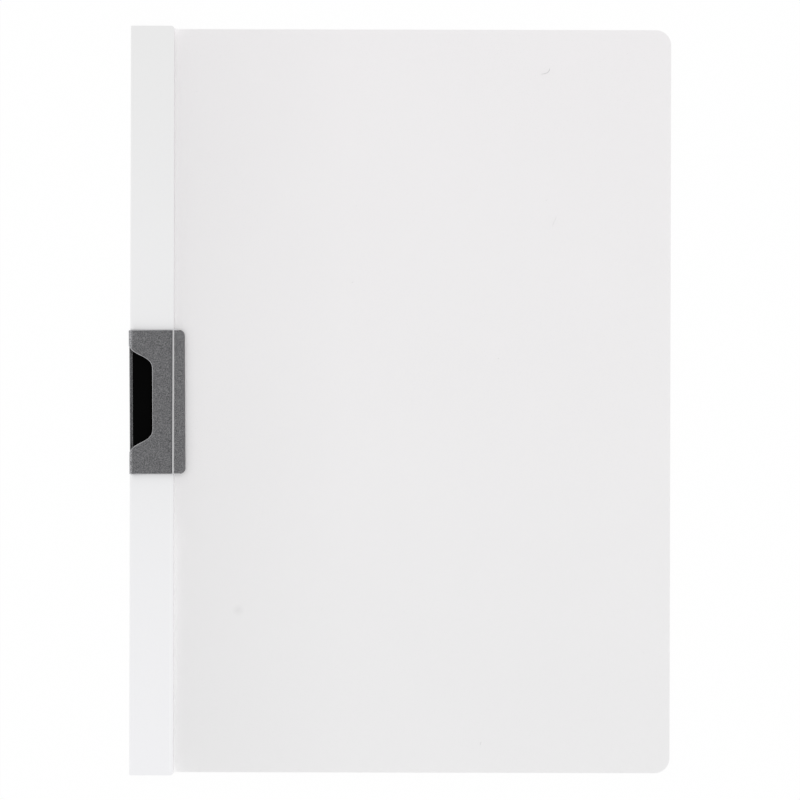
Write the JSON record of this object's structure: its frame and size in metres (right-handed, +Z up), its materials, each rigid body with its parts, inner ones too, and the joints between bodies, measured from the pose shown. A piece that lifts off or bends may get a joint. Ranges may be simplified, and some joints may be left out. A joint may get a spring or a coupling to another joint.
{
  "type": "clip folder",
  "caption": "Empty A4 folder of film with a white back, spine and front strip, a clear hinged front cover, and a grey steel clip that swings out of the spine.",
  "frame": {"origin": "on the underside of the back cover, below the middle of the closed folder's box", "axes": "+X from the spine to the open edge, +Y along the spine to the top edge, +Z up from the back cover to the front cover"},
  "size_m": [0.221, 0.305, 0.005],
  "materials": {
    "white_film": "satin white film with a fine grain",
    "clear_film": "clear film with a faint haze",
    "stud_plastic": "moulded white plastic",
    "grey_painted_steel": "speckled metallic grey paint on sprung steel",
    "black_plastic": "smooth black plastic"
  },
  "bodies": {
    "folder": {"back_cover": "white_film", "front_cover_margin": "clear_film", "pivot_stud": "stud_plastic"},
    "front_cover": {"front_cover": "clear_film"},
    "clip": {"spring_clip": "grey_painted_steel", "thumb_plate": "black_plastic"}
  },
  "joints": [
    {"name": "front_cover_hinge", "type": "hinge", "parent": "folder", "child": "front_cover", "pos_m": [-0.09198, 0, 0.0042], "axis": [0, -1, 0], "range_deg": [0, 175]},
    {"name": "clip_swing", "type": "hinge", "parent": "folder", "child": "clip", "pos_m": [-0.10753, -0.02715, 0.001], "axis": [0, 0, 1], "range_deg": [0, 90]}
  ]
}
